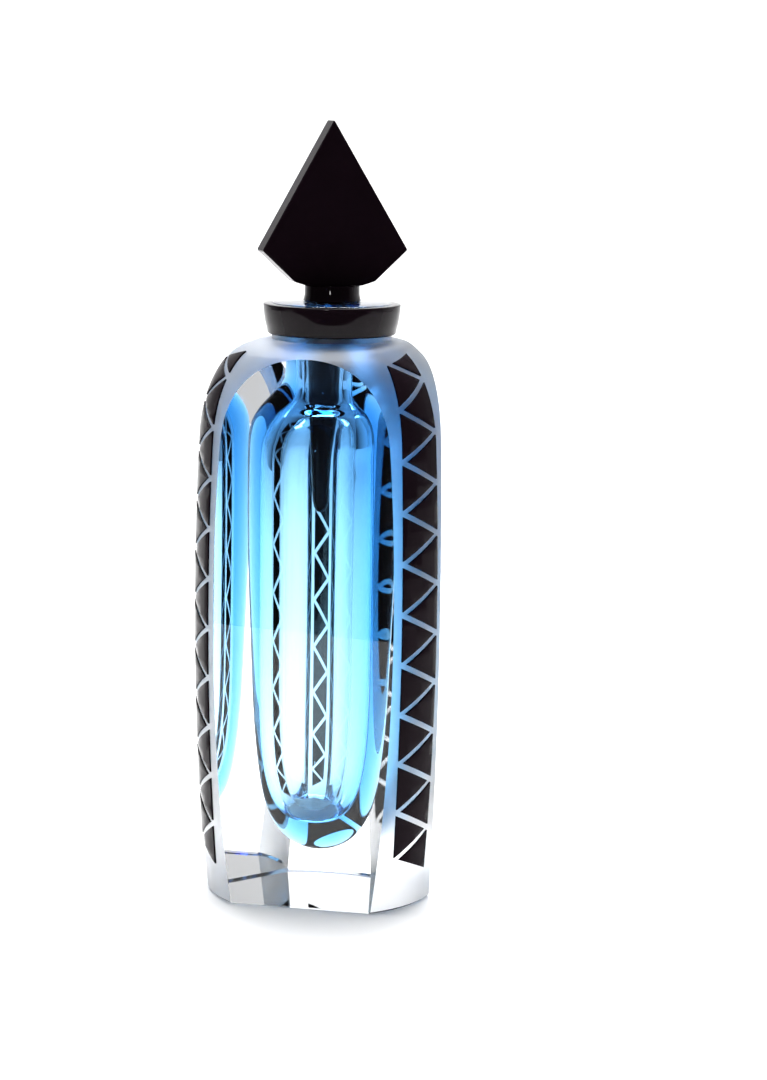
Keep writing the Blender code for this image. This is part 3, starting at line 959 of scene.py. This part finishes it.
def build_stage(scene):
    """Camera, floor, lights and how the picture is taken."""
    build_camera(scene)
    build_floor(scene)
    build_air(scene)
    stage = scene.scent_stage
    build_light(scene, "overhead", (-0.1, 0.35, 1.3), 1.0, stage.overhead, (1.0, 1.0, 1.0))
    build_light(scene, "front_softbox", (0.10, -1.3, 0.22), 0.10, stage.softbox, (1.0, 0.99, 0.97))
    scene.view_settings.view_transform = "Standard"
    scene.cycles.max_bounces = 24
    scene.cycles.transmission_bounces = 24
    scene.cycles.glossy_bounces = 16
    scene.cycles.transparent_max_bounces = 16


class SCENT_OT_body(bpy.types.Operator):
    """Build the clear glass body"""

    bl_idname = "scent.body"
    bl_label = "Clear body"

    def execute(self, context):
        build_body(context.scene)
        return {"FINISHED"}


class SCENT_OT_bubble(bpy.types.Operator):
    """Build the blue bubble inside the body"""

    bl_idname = "scent.bubble"
    bl_label = "Blue bubble"

    def execute(self, context):
        build_bubble(context.scene)
        return {"FINISHED"}


class SCENT_OT_bands(bpy.types.Operator):
    """Build the three carved bands of black triangles"""

    bl_idname = "scent.bands"
    bl_label = "Carved bands"

    def execute(self, context):
        for corner in CORNERS:
            build_band(context.scene, corner)
        return {"FINISHED"}


class SCENT_OT_collar(bpy.types.Operator):
    """Build the black collar round the neck"""

    bl_idname = "scent.collar"
    bl_label = "Collar"

    def execute(self, context):
        build_collar(context.scene)
        return {"FINISHED"}


class SCENT_OT_peg(bpy.types.Operator):
    """Build the stopper's shank, its ground peg and the dauber rod"""

    bl_idname = "scent.peg"
    bl_label = "Peg and dauber"

    def execute(self, context):
        build_peg(context.scene)
        build_rod(context.scene)
        return {"FINISHED"}


class SCENT_OT_plate(bpy.types.Operator):
    """Build the stopper's diamond plate"""

    bl_idname = "scent.plate"
    bl_label = "Diamond plate"

    def execute(self, context):
        build_plate(context.scene)
        return {"FINISHED"}


class SCENT_OT_stage(bpy.types.Operator):
    """Build the camera, the floor and the lights"""

    bl_idname = "scent.stage"
    bl_label = "Studio"

    def execute(self, context):
        build_stage(context.scene)
        return {"FINISHED"}


class SCENT_PT_pieces(bpy.types.Panel):
    """Lists what can be built"""

    bl_idname = "SCENT_PT_pieces"
    bl_label = "Scent bottle"
    bl_space_type = "VIEW_3D"
    bl_region_type = "UI"
    bl_category = "Scent bottle"

    def draw(self, context):
        for maker in OPERATORS:
            self.layout.operator(maker.bl_idname)
        for group in GROUPS:
            settings = getattr(context.scene, group)
            for name in settings.bl_rna.properties.keys():
                if name not in ("rna_type", "name"):
                    self.layout.prop(settings, name)


GROUPS = {
    "scent_body": BodySizes,
    "scent_bubble": BubbleSizes,
    "scent_bands": BandSizes,
    "scent_stopper": StopperSizes,
    "scent_finishes": Finishes,
    "scent_stage": StageSizes,
}
OPERATORS = (
    SCENT_OT_body,
    SCENT_OT_bubble,
    SCENT_OT_bands,
    SCENT_OT_collar,
    SCENT_OT_peg,
    SCENT_OT_plate,
    SCENT_OT_stage,
)


def register():
    for name, group in GROUPS.items():
        bpy.utils.register_class(group)
        setattr(bpy.types.Scene, name, PointerProperty(type=group))
    for made in (*OPERATORS, SCENT_PT_pieces):
        bpy.utils.register_class(made)


def unregister():
    for made in (SCENT_PT_pieces, *reversed(OPERATORS)):
        bpy.utils.unregister_class(made)
    for name, group in GROUPS.items():
        delattr(bpy.types.Scene, name)
        bpy.utils.unregister_class(group)


def main():
    register()
    bpy.ops.scent.body()
    bpy.ops.scent.bubble()
    bpy.ops.scent.bands()
    bpy.ops.scent.collar()
    bpy.ops.scent.peg()
    bpy.ops.scent.plate()
    bpy.ops.scent.stage()


if __name__ == "__main__":
    main()
